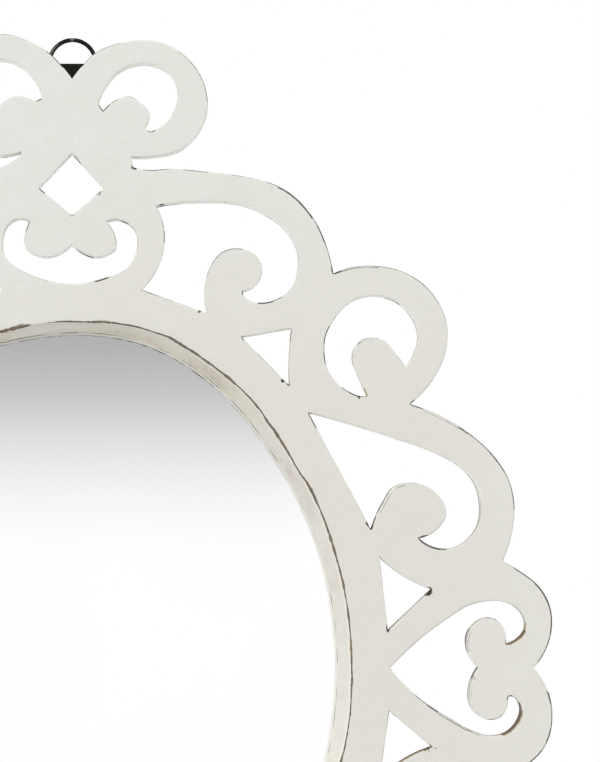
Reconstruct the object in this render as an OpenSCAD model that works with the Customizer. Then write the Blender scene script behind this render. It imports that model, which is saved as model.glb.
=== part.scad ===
// Oval wall mirror in a painted fretwork scroll frame.
// X runs to the right, Z up, and the mirror faces -Y. The wall is the plane Y = 0.
// The origin is the hanging point: where a nail in the wall carries the D-ring.

/* [Overall] */
// Width of the frame over the side hearts
frame_w = 600; // [560:5:680]
// Height of the frame over the crown scrolls
frame_h = 785; // [740:5:860]
// How much higher the top left crown scroll is cut than its twin
crown_rise = 3.5; // [0:0.5:5]

/* [Opening] */
// Width of the glass that shows
opening_w = 330; // [300:1:350]
// Height of the glass that shows
opening_h = 416; // [385:1:435]
// Radius of the opening's top and bottom arcs, as a share of half its width
end_share = 0.865; // [0.8:0.005:0.9]
// Width of the bevel round the glass, seen from the front
bevel_w = 9.2; // [6:0.2:13]
// Flat rim between the bevel and the cut-outs
rim_w = 24; // [20:0.5:28]

/* [Board] */
// Thickness of the fretwork board
board_t = 15; // [13:0.5:20]
// Straight edge left under the bevel, against the glass
lip_edge = 1.2; // [0.8:0.1:2.5]
// How far the rebate reaches under the lip, all round
rebate_w = 7; // [4:0.5:9]

/* [Glass and backing] */
// Thickness of the mirror glass
glass_t = 3; // [2:0.5:4]
// Gap round the edge of the glass in its rebate
glass_gap = 0.8; // [0.5:0.1:2]
// Thickness of the card packing behind the glass
packing_t = 2; // [1:0.5:3]
// Thickness of the hardboard back
backing_t = 2.5; // [2:0.5:3.5]
// How far the back laps over the board outside the rebate
backing_lap = 13; // [10:0.5:14]
// Number of screws that hold the back
backing_screw_count = 10; // [6:2:16]
// Length of a back screw under its head
backing_screw_len = 10; // [8:0.5:12]

/* [Hanger] */
// Diameter of the D-ring wire
ring_wire = 2.7; // [2:0.1:3]
// Outer width of the D-ring
ring_w = 31.5; // [28:0.5:36]
// Radius of the D-ring's two lower bends, to the middle of the wire
ring_bend = 3; // [2.5:0.1:4]
// Running clearance round the ring's bar in the strap
bar_gap = 0.2; // [0.1:0.05:0.3]
// Thickness of the strap's steel
strap_t = 1; // [0.8:0.1:1.2]
// Width of the strap
strap_w = 20; // [16:0.5:21]
// Length of the strap from the ring's bar to its round end
strap_len = 38; // [36:1:42]
// Height of the ring's bar above the bottom of the crown's V notch
bar_rise = 9.5; // [8:0.5:11]
// Length of a hanger screw under its head
hanger_screw_len = 12; // [10:0.5:13]

/* [Bumpers] */
// Diameter of a wall bumper
bumper_d = 14; // [10:0.5:16]
// Thickness of a wall bumper, which is the gap behind the board
bumper_t = 5.5; // [5.3:0.1:8]

/* [Hidden] */
$fn = 48;

// Overrun of a cutting tool past the face that it cuts
cut = 1;
// Sides of the polygon that stands for an oval, a multiple of 8
oval_sides = 96;
// Longest chord on a curve of the fretwork, the most degrees that the curve turns in one chord, and
// the turn under which a stretch stays straight
chord_max = 7;
turn_max = 18;
straight_turn = 4;
// Clearance of a screw's shank in its hole
shank_gap = 0.1;

// Half axes of the ovals
sight = [opening_w / 2, opening_h / 2];
arris = sight + [bevel_w, bevel_w];
rim = arris + [rim_w, rim_w];
rebate = sight + [rebate_w, rebate_w];
glass = rebate - [glass_gap, glass_gap];
backing = rebate + [backing_lap, backing_lap];
screw_line = rebate + [backing_lap, backing_lap] / 2;

// Depths along Y, from the wall to the front
back_y = -bumper_t;
front_y = back_y - board_t;
rebate_d = glass_t + packing_t;
rebate_y = back_y - rebate_d;
bevel_d = board_t - rebate_d - lip_edge;

// Screws: shank radius, head radius and head height
backing_screw = [1.5, 3, 1.6];
hanger_screw = [1.75, 3.4, 1.8];
// Shares of the shank's radius left at a screw's tip, and of the head's radius left on its top
tip_share = 0.25;
crown_share = 0.7;
// Cross slot in a screw's head: its width and length as shares of the head's radius, and the share
// of the head's height left under it
slot_width_share = 0.3;
slot_length_share = 1.2;
slot_floor_share = 0.45;

// The fretwork is drawn in mm about the oval's centre, for an outline and a rim of these half
// axes, and is carried over to the frame and rim in use
drawn_out = [300, 392.5];
drawn_rim = [198.2, 241.2];

// A point of the drawing, at its share of the way from the rim's oval to the outline's oval
function carry(p) =
    let (u = norm([p.x / drawn_rim.x, p.y / drawn_rim.y]),
         v = norm([p.x / drawn_out.x, p.y / drawn_out.y]),
         s = (1 - 1 / u) / (1 / v - 1 / u),
         a = [p.x / u * rim.x / drawn_rim.x, p.y / u * rim.y / drawn_rim.y],
         b = [p.x / v * frame_w / 2 / drawn_out.x, p.y / v * frame_h / 2 / drawn_out.y])
    a + (b - a) * s;

function unit(v) = v / norm(v);
function flip_x(pts) = [for (p = pts) [-p.x, p.y]];
function flip_z(pts) = [for (p = pts) [p.x, -p.y]];
function turned(list) = [for (i = [len(list) - 1:-1:0]) list[i]];
function last(list) = list[len(list) - 1];
function but_last(list) = [for (i = [0:len(list) - 2]) list[i]];
function joined(lists) = [for (l = lists) each l];

// Direction of the smooth curve at point i of a run
function inner_dir(p, i) =
    let (a = norm(p[i] - p[i - 1]), b = norm(p[i + 1] - p[i]))
    ((p[i] - p[i - 1]) * b / a + (p[i + 1] - p[i]) * a / b) / (a + b);
function dir(p, i) =
    let (n = len(p) - 1)
    n == 1 ? unit(p[1] - p[0])
    : i == 0 ? 2 * unit(p[1] - p[0]) - inner_dir(p, 1)
    : i == n ? 2 * unit(p[n] - p[n - 1]) - inner_dir(p, n - 1)
    : inner_dir(p, i);

// One stretch of the curve, from p to q, with its directions at both ends
function stretch(p, q, s, t) =
    let (d = norm(q - p),
         turn = acos(max(-1, min(1, unit(s) * unit(t)))),
         n = max(1, ceil(turn / turn_max), turn > straight_turn ? ceil(d / chord_max) : 1))
    [for (k = [0:n - 1])
        let (h = k / n)
        p * (1 + 2 * h) * (1 - h) * (1 - h) + s * d * h * (1 - h) * (1 - h)
        + q * h * h * (3 - 2 * h) - t * d * h * h * (1 - h)];

// A smooth curve through a run of points, without its last one. Runs meet in corners.
function run_curve(p) = joined([for (i = [0:len(p) - 2])
    stretch(p[i], p[i + 1], dir(p, i), dir(p, i + 1))]);
function runs_curve(runs) = joined([for (r = runs) run_curve(r)]);

// Slit between the crown and the shoulder scroll: the two corners of its end, and the point after
// them. The left slit is sawn deeper and to a point.
slit_right = [[37.1, 319.6], [38, 312.9], [46, 311.2]];
slit_left = [[31.3, 322.6], [33.5, 319.1], [44.5, 313]];

// Outer curve of a side heart, whose lower half is cut a little fuller
heart_upper = [[280.4, 60.1], [291.9, 50.8], [298, 40.6], [300, 29], [297.4, 14.7]];
heart_lower = [[281.6, 61.9], [292.1, 53.5], [298, 43.2], [300, 31.4], [297.5, 14.7]];

// Outline of the top right quarter, from the V notch at the crown to the notch of the side heart
function outline_runs(slit, heart) = [
    // crown scroll, down to the slit under it
    [[0, 368], [7, 376.9], [14, 384], [27, 389.8], [43.5, 392.5], [57, 390.5], [69.5, 383.5],
     [78.5, 373.5], [83.5, 362], [84.8, 350], [81.6, 338.7], [73.6, 328.4], [62.8, 322],
     [53.7, 320.1], slit[0]],
    [slit[0], slit[1]],
    // shoulder scroll
    [slit[1], slit[2], [62, 311.9], [84, 310], [107, 307.2], [123.4, 303.3], [135, 297.7],
     [145, 288.8], [154.6, 274.7], [160.4, 259.5], [163.4, 246.5]],
    // lobe
    [[163.4, 246.5], [174.6, 250.4], [190, 251.3], [206.5, 247.8], [219.3, 240.2], [229.5, 228],
     [234.6, 212.6], [233.3, 196.2], [226.9, 182.1], [211.4, 164.8]],
    // side scroll
    [[211.4, 164.8], [237.2, 153.8], [254.5, 141.6], [266.1, 129.4], [273.3, 117], [276.4, 102.6],
     [275.4, 86.8], [268.9, 66.6]],
    // half of the side heart
    [[268.9, 66.6], each heart, [288.3, 0]],
];

// Blunt tip of a crown scroll's cut-out and the point after it. The left one ends shorter.
crown_tip_right = [[16.3, 352.7], [19.4, 348.2], [25.1, 353.4]];
crown_tip_left = [[18.8, 356], [22.3, 354.1], [26, 355.3]];

// Cut-outs of the top right quarter
function crown_hole(tip) = [
    [tip[0], tip[1]],
    [tip[1], tip[2], [36, 357.2], [42.7, 353.4], [48.7, 345.4], [45, 338.1]],
    [[45, 338.1], [48.8, 335]],
    [[48.8, 335], [58.5, 340.6], [66, 356], [63.5, 369.4], [52.2, 377.2], [42.5, 378.2],
     [31.2, 374.5], [22.3, 365.7], tip[0]],
];
shoulder_hole = [
    [[52.1, 288.7], [65.8, 290.9], [85, 291.7], [104.7, 290.2], [120.6, 284.2], [133.7, 274.2],
     [141.2, 260.3], [141.3, 248.9], [137.4, 237.6], [129.8, 231.3], [118.3, 228.2], [110.6, 229.4],
     [106.2, 235.5]],
    [[106.2, 235.5], [116.9, 241.6], [118.9, 249], [115.7, 256.8], [108, 261.4], [101.7, 262.1],
     [94, 260], [87, 251.7], [83.4, 241.5], [84.9, 221.4]],
    [[84.9, 221.4], [43.2, 236.3]],
    [[43.2, 236.3], [50.9, 246.1], [55.8, 255.5], [58, 267.9], [56, 281], [52.1, 288.7]],
];
upper_wedge = [
    [[105.7, 206.9], [137.4, 212.4]],
    [[137.4, 212.4], [135.9, 194.3], [136, 176.1]],
    [[136, 176.1], [105.7, 206.9]],
];
lobe_hole = [
    [[208.7, 188], [213.7, 195.9], [216.7, 206.4], [213.3, 218.9], [202.4, 229.8], [187.3, 232.9],
     [174.2, 228.7], [164.4, 218.4], [158.7, 207.6], [157.8, 196.2], [160.6, 184.7], [168.3, 175.7],
     [179.8, 169.9]],
    [[179.8, 169.9], [185.1, 169.9]],
    [[185.1, 169.9], [178.7, 183.9], [175.9, 191.2], [176.4, 199.8], [181, 205], [187.4, 206.4],
     [195, 204.4], [201.4, 197.5], [208.7, 188]],
];
side_hole = [
    [[147.6, 159.8], [175, 152.1], [201.8, 143.7], [225, 135.5], [242, 126.7], [251.6, 116.6],
     [255.3, 104.6], [253.7, 88.5], [245.2, 78.4], [234.6, 74.6], [224.4, 76.2], [216.9, 81]],
    [[216.9, 81], [228.2, 86.5], [234, 96.6], [230.8, 105.6], [223, 112.6], [211.6, 115.7],
     [200.6, 112.8], [195.8, 105.8], [187, 86.1]],
    [[187, 86.1], [147.6, 159.8]],
];
function heart_wedge(tip) = [
    [[192, 69.8], [206, 58.2], [225, 49.3]],
    [[225, 49.3], tip],
    [tip, [192, 69.8]],
];
wedge_upper = [197.3, 23];
wedge_lower = [198.1, 26.7];
function corner_holes(tip, wedge) =
    [crown_hole(tip), shoulder_hole, upper_wedge, lobe_hole, side_hole, heart_wedge(wedge)];

// A side heart's cut-out, round from its tip. Its lower curl is cut a little thicker.
heart_hole = [
    [[198.6, 0], [217, 17.7], [234.3, 30.6], [248.7, 39.3], [263, 41.9], [275.2, 39.6], [282.8, 31.6],
     [283.3, 23.9], [279.3, 18.6], [271, 14.8]],
    [[271, 14.8], [270.4, 22.5], [266.7, 29], [260.2, 31.6], [252.1, 27.9], [247, 20.7],
     [247, 12.8], [254, 0.4]],
    [[254, 0.4], [249, -10.1], [248, -17.8], [250.9, -26.4], [260.4, -32.4], [268.2, -30.2],
     [271.6, -24.6], [272.3, -18]],
    [[272.3, -18], [276.6, -18.2], [280.6, -24.9], [278.6, -33.4], [271, -40.8], [261.5, -42.5],
     [250.4, -39.3], [236, -31.4], [218.5, -20], [198.6, 0]],
];
// Cut-out under the crown, round from its foot, with the cusp between its curls
smile_hole = [
    [[-26.4, 279.2], [-33.2, 280.7], [-40.6, 276.2], [-43.4, 265.5], [-41.5, 256.5], [-34.5, 250],
     [-20.8, 243.6], [0, 239.7], [20.8, 243.6], [34, 249.3], [40.1, 260], [40.8, 268.9],
     [37.7, 276], [31.2, 279.8], [21.3, 279]],
    [[21.3, 279], [27, 269.5], [27.6, 262.7], [22.6, 258.4], [14.7, 256.7], [8.3, 258.6], [0, 264.8]],
    [[0, 264.8], [-8.3, 258.6], [-14.8, 256.7], [-23.7, 258.4], [-29.2, 263.1], [-29.4, 270],
     [-26.4, 279.2]],
];
diamond = [[0, 282.4], [20.1, 299.8], [0, 322], [-20.8, 300]];

// The left crown scroll stands a little higher: the rise grows outwards and upwards
rise_from = [14, 355];
rise_over = [25, 37];
function risen(p) =
    let (across = (-p.x - rise_from.x) / rise_over.x, up = (p.y - rise_from.y) / rise_over.y)
    [p.x, p.y + crown_rise * max(0, min(1, across)) * max(0, min(1, up))];

function placed(pts) = [for (p = pts) carry(risen(p))];

// A quarter of the outline run backwards: from its last point to the one after its first
function outline_back(slit, heart) =
    let (runs = outline_runs(slit, heart))
    but_last(turned(concat(runs_curve(runs), [last(last(runs))])));
outline = placed(joined([
    runs_curve(outline_runs(slit_right, heart_upper)),
    flip_z(outline_back(slit_right, heart_lower)),
    flip_x(flip_z(runs_curve(outline_runs(slit_right, heart_lower)))),
    flip_x(outline_back(slit_left, heart_upper)),
]));

// All cut-outs: those of the four quarters, the two hearts, and those on the middle line
holes =
    let (above = [for (h = corner_holes(crown_tip_right, wedge_upper)) runs_curve(h)],
         above_left = [for (h = corner_holes(crown_tip_left, wedge_upper)) flip_x(runs_curve(h))],
         below = [for (h = corner_holes(crown_tip_right, wedge_lower)) flip_z(runs_curve(h))],
         below_left = [for (q = below) flip_x(q)],
         heart = runs_curve(heart_hole),
         middle = [runs_curve(smile_hole), diamond])
    [for (h = joined([
        above, above_left, below, below_left, [heart, flip_x(heart)], middle,
        [for (q = middle) flip_z(q)],
    ])) placed(h)];

// An oval of four arcs that touch, with the half axes r. Ovals of different size lie parallel.
function oval(r) =
    let (end_r = end_share * sight.x + r.x - sight.x,
         side_r = (r.x * r.x + r.y * r.y - 2 * r.y * end_r) / (2 * (r.x - end_r)),
         side_x = r.x - side_r,
         end_y = r.y - end_r,
         joint = atan2(end_y, -side_x),
         n = oval_sides / 8,
         quarter = joined([
             [for (i = [0:n - 1])
                 let (a = joint * i / n) [side_x + side_r * cos(a), side_r * sin(a)]],
             [for (i = [0:n - 1])
                 let (a = joint + (90 - joint) * i / n) [end_r * cos(a), end_y + end_r * sin(a)]],
         ]),
         half = concat(quarter, [[0, r.y]], flip_x(turned([for (i = [1:2 * n - 1]) quarter[i]]))))
    concat(half, -half);

// Ring and strap, seen from the side: the bar's centre and the loop round it
wire_r = ring_wire / 2;
loop_in = wire_r + bar_gap;
loop_out = loop_in + strap_t;
bar_y = back_y + loop_out;
notch_z = outline[0].y;
bar_z = notch_z + bar_rise;
ring_r = (ring_w - ring_wire) / 2;
// Top of the inside of the upright ring, where the nail carries it
hang_z = bar_z + ring_bend + ring_r - wire_r;
// Places of the strap's two screws, below the bar
strap_screws = [ring_r, strap_len - strap_w / 2];

// A bumper sits on a lower lobe, between its cut-out and its edge
lobe_band = [188.5, -241.3];
bumper_spots = placed([lobe_band, [-lobe_band.x, lobe_band.y]]);

// A flat outline in X and Z, made into a plate that starts at y and is t deep
module plate(y, t) {
    translate([0, y + t, 0]) rotate([90, 0, 0]) linear_extrude(t) children();
}

// The whole mirror is drawn about the oval's centre and hangs from the origin
module hung() {
    translate([0, 0, -hang_z]) children();
}

// A tapering oval plug between the ovals ra at ya and rb at yb
module oval_plug(ya, ra, yb, rb) {
    n = oval_sides;
    ring_a = [for (p = oval(ra)) [p.x, ya, p.y]];
    ring_b = [for (p = oval(rb)) [p.x, yb, p.y]];
    polyhedron(
        points = concat(ring_a, ring_b),
        faces = joined([
            [[for (i = [n - 1:-1:0]) i], [for (i = [0:n - 1]) n + i]],
            [for (i = [0:n - 1]) [i, (i + 1) % n, n + i]],
            [for (i = [0:n - 1]) [(i + 1) % n, n + (i + 1) % n, n + i]],
        ]));
}

// Spots round an oval, at even steps of its sides
function spots_on(r, count) = [for (i = [0:count - 1])
    oval(r)[round(oval_sides * (i + 0.5) / count)]];
backing_spots = spots_on(screw_line, backing_screw_count);
strap_spots = [for (d = strap_screws) [0, bar_z - d]];

// Screw holes along Y, from depth y over a length
module bores(spots, r, y, length) {
    for (p = spots) translate([p.x, y, p.y]) rotate([-90, 0, 0]) cylinder(r = r, h = length);
}

// A pan head screw with a cross slot: its head stands on the plane y, its shank runs to -Y
module screw(size, length) {
    shank_r = size[0];
    head_r = size[1];
    head_h = size[2];
    slot_w = head_r * slot_width_share;
    slot_l = head_r * slot_length_share;
    difference() {
        union() {
            rotate([90, 0, 0]) cylinder(r = shank_r, h = length - shank_r);
            translate([0, -length + shank_r, 0]) rotate([90, 0, 0])
                cylinder(r1 = shank_r, r2 = shank_r * tip_share, h = shank_r);
            rotate([-90, 0, 0]) cylinder(r = head_r, h = head_h / 2);
            translate([0, head_h / 2, 0]) rotate([-90, 0, 0])
                cylinder(r1 = head_r, r2 = head_r * crown_share, h = head_h / 2);
        }
        for (a = [0, 90]) rotate([0, a, 0])
            translate([-slot_l / 2, head_h * slot_floor_share, -slot_w / 2])
                cube([slot_l, head_h, slot_w]);
    }
}

// One fretwork board, cut right through, with the bevelled lip in front and the rebate behind
module fretwork_frame() {
    slope = bevel_w / bevel_d * cut;
    color("#E4E2DA") hung() difference() {
        plate(front_y, board_t) difference() {
            polygon(outline);
            for (h = holes) polygon(h);
        }
        plate(front_y - cut, board_t + 2 * cut) polygon(oval(sight));
        oval_plug(front_y - cut, arris + [slope, slope], front_y + bevel_d, sight);
        plate(rebate_y, rebate_d + cut) polygon(oval(rebate));
        bores(backing_spots, backing_screw[0] + shank_gap, back_y - backing_screw_len + backing_t - cut,
              backing_screw_len);
        bores(strap_spots, hanger_screw[0] + shank_gap, back_y - hanger_screw_len + 2 * strap_t - cut,
              hanger_screw_len);
    }
}

module mirror_glass() {
    color("#DDE3E6") hung() plate(rebate_y, glass_t) polygon(oval(glass));
}

// Card that fills the rebate behind the glass
module packing_sheet() {
    color("#B9A27E") hung() plate(rebate_y + glass_t, packing_t) polygon(oval(glass));
}

module backing_board() {
    color("#8A6A4A") hung() difference() {
        plate(back_y, backing_t) polygon(oval(backing));
        bores(backing_spots, backing_screw[0] + shank_gap, back_y - cut, backing_t + 2 * cut);
    }
}

module backing_screws() {
    color("#B9B29C") hung() for (p = backing_spots)
        translate([p.x, back_y + backing_t, p.y]) screw(backing_screw, backing_screw_len);
}

// Steel strip folded round the ring's bar, with both legs lying on the board
module hanger_strap() {
    end_r = strap_w / 2;
    color("#26241F") hung() difference() {
        intersection() {
            translate([-strap_w / 2, bar_y, bar_z]) rotate([90, 0, 90]) linear_extrude(strap_w)
                difference() {
                    union() {
                        circle(r = loop_out);
                        translate([-loop_out, -strap_len]) square([strap_t, strap_len]);
                        translate([-loop_out, -strap_len]) square([2 * strap_t, strap_len - loop_in]);
                    }
                    circle(r = loop_in);
                }
            plate(back_y - cut, 2 * loop_out + 2 * cut) union() {
                translate([-end_r, bar_z - strap_len + end_r])
                    square([strap_w, strap_len - end_r + 2 * loop_out]);
                translate([0, bar_z - strap_len + end_r]) circle(r = end_r);
            }
        }
        bores(strap_spots, hanger_screw[0] + shank_gap, back_y - cut, 2 * strap_t + 2 * cut);
    }
}

// D-ring of round wire: a bar, two small bends and a half circle
module hanger_ring() {
    bar = ring_r - ring_bend;
    color("#1D1B18") hung() translate([0, bar_y, bar_z]) union() {
        translate([-bar, 0, 0]) rotate([0, 90, 0]) cylinder(r = wire_r, h = 2 * bar);
        translate([0, 0, ring_bend]) rotate([90, 0, 0])
            rotate_extrude(angle = 180) translate([ring_r, 0]) circle(r = wire_r);
        for (side = [0, 1]) mirror([side, 0, 0])
            translate([bar, 0, ring_bend]) rotate([90, 0, 0])
                rotate_extrude(angle = 90, start = 270) translate([ring_bend, 0]) circle(r = wire_r);
    }
}

module hanger_screws() {
    color("#3A3833") hung() for (p = strap_spots)
        translate([p.x, back_y + 2 * strap_t, p.y]) screw(hanger_screw, hanger_screw_len);
}

// Round pads that keep the board off the wall and level with the hanger
module wall_bumpers() {
    color("#4A4A48") hung() for (p = bumper_spots)
        translate([p.x, back_y, p.y]) rotate([-90, 0, 0]) cylinder(d = bumper_d, h = bumper_t);
}

fretwork_frame();
mirror_glass();
packing_sheet();
backing_board();
backing_screws();
hanger_strap();
hanger_ring();
hanger_screws();
wall_bumpers();
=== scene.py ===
import math

import bmesh
import bpy
import numpy as np
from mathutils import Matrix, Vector
from mathutils.geometry import delaunay_2d_cdt
from mathutils.kdtree import KDTree


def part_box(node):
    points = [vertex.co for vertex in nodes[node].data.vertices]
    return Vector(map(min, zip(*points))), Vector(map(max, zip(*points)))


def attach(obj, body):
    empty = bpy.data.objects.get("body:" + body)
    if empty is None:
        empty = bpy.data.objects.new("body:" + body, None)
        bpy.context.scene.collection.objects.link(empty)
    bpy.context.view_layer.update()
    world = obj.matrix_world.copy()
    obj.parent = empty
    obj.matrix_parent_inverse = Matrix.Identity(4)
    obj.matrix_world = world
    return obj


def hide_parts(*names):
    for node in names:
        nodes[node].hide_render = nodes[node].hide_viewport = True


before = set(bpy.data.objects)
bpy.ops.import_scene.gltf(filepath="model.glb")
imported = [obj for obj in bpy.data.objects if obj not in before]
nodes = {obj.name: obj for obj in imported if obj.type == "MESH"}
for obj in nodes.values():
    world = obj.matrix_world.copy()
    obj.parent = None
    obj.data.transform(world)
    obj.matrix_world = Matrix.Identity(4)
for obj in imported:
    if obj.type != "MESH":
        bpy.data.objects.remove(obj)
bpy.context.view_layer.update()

MM = 0.001
join = np.concatenate

# Places and sizes
# Everything on the front is given in mm about the middle of the oval, x to the right and z up.

glass_lo, glass_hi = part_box("mirror_glass")
MID = (glass_lo + glass_hi) / 2
frame_lo, frame_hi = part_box("fretwork_frame")
FRONT = frame_lo.y / MM
BACK = frame_hi.y / MM
LIP = glass_lo.y / MM
# The oval in which the glass is seen: half its width and height, and the radius of its ends
SIGHT = (165.0, 208.0)
END_R = 0.865 * SIGHT[0]
# How far outside that oval the arris of the bevel, the rebate and the edge of the glass lie
TO_ARRIS, TO_REBATE, TO_GLASS_EDGE = 9.2, 7.0, 6.19
# How deep the straight edge of the lip, the glass and the screws' bores are
LIP_EDGE, GLASS_DEEP, BORE_DEEP = 1.2, 3, 9
# The outlines of the cut-outs and of the screws' bores enclose less than these (mm2)
CUT_SPREAD, BORE_SPREAD = 200 * 200, 8 * 8
# How far apart the points on the fretwork's outlines are, and those beside its marks of wear
STEP, FINE_STEP = 2.8, 1.15
# Edges that turn by more than this stay sharp, and outlines have a corner there (degrees)
SHARP, CORNER = math.radians(34), 24

# Where the hand-cut opening strays from the oval, by degrees round from the right: how far out the
# arris and the edge of the glass lie (mm). Only this stretch is drawn from the real one.
STRAY = [
    (-18, 0.8, -0.2), (-13, 0.85, -0.2), (-9, 1.0, -0.2), (-5, 0.65, -0.2), (-2.5, 0.8, -0.2),
    (0, 0.4, -0.2), (6, 0.35, -0.2), (12, 0.55, -0.3), (18, 0.45, -0.3), (24, 0.25, -0.3),
    (30, 0.45, -0.5), (36, 0.2, -0.8), (38.6, 0.1, -0.9), (41, -1.3, -1.2), (44, -1.42, -1.5),
    (48, -1.1, -1.7), (52.5, -1.05, -1.7), (54.5, -0.3, -1.6), (58, -0.3, -1.4), (62, -0.4, -0.8),
    (65, -0.5, -0.3), (68, -0.1, 0.1), (71, 0.55, 0.7), (72.4, 1.1, 0.9), (74, 1.75, 1.1),
    (75.6, 1.35, 1.3), (78, 1.2, 1.5), (80.5, 1.0, 1.4), (82.5, 0.35, 1.2), (85, 0.05, 0.9),
    (87, -0.95, 0.7), (90, -1.0, 0.3), (96, -0.9, 0.1), (102, -0.75, 0.5),
]
# The bare line along the arris, by degrees: its width (mm) and whether its dark core runs along its
# outer side (1), its inner side (-1) or both (0)
WORN = [
    (-18, 0.8, 0), (-14, 0.6, 0), (-11.3, 0.4, 0), (-9, 1.0, -1), (-6.8, 0.6, 0), (-2.5, 1.1, -1),
    (0, 0.8, -1), (4.5, 1.3, -1), (6.8, 0.6, 0), (11.3, 1.1, 0), (13.6, 0.5, 0), (15.8, 0.6, -1),
    (17.8, 1.6, 0), (20, 0.8, 0), (23, 1.0, 0), (26.6, 1.7, 0), (29, 1.1, -1), (33, 0.9, -1),
    (37, 1.8, -1), (39.4, 0.8, 0), (43.5, 0.8, 0), (47, 1.1, -1), (49.4, 1.9, -1), (51.6, 1.5, -1),
    (54.2, 0.8, 0), (55.6, 1.3, 0), (58.2, 0.5, 0), (59.8, 0.5, 0), (61.6, 2.2, 0.3), (64, 1.1, 0),
    (67.5, 1.5, 0), (70.5, 1.5, 1), (72.4, 2.1, 1), (74, 1.5, 0), (75.6, 0.8, 0), (78, 0.9, 0),
    (80.5, 1.0, 0), (82, 0.7, 0), (85.3, 1.4, -1), (87.6, 0.9, 0), (92, 0.9, 0), (93.6, 0.6, 0),
    (94.6, 0.15, 0), (96.6, 0.15, 0), (97.2, 1.5, 0), (98.4, 2.2, 0), (102, 1.6, 0),
]
# Where the paint has crumbled beside that line: how much, at which degrees and over how many
CRUMBLED = ((0.85, 85, 2.0), (1.0, 98, 1.2))
# How much lighter the bevel is, as painted light and shade for the way each stretch faces; how stained,
# with real stains and painted shade; and how yellow, by degrees
BEVEL_TONE = [
    (-18, 0, 0.6, 0), (-2, 0, 1.1, 0), (4, 0, 0.7, 0.1), (22, 0, 0.8, 0.2), (28, 0.2, 0.5, 0),
    (34, 0, 0.8, 0.1), (46, 0, 1.3, 0.2), (52, 0.3, 0.7, 0.1), (58, 0.1, 0.8, 0.5),
    (70, -0.3, 1.7, 0.7), (82, 0.1, 1.2, 1), (88, 0.5, 0.6, 0.9), (94, 0.8, 0.2, 0.4),
    (100, 1.6, 0, 0.4),
]
# How dark the painted shadow line in the gap between the glass and the lip is, by degrees
GAP_SHADOW = [(0, 0.15), (12, 0.3), (22, 0.1), (34, 0.25), (62, 0.32), (66, 0.7), (70, 0.4), (77, 0.65),
       (84, 0.45), (90, 0.45)]
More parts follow.
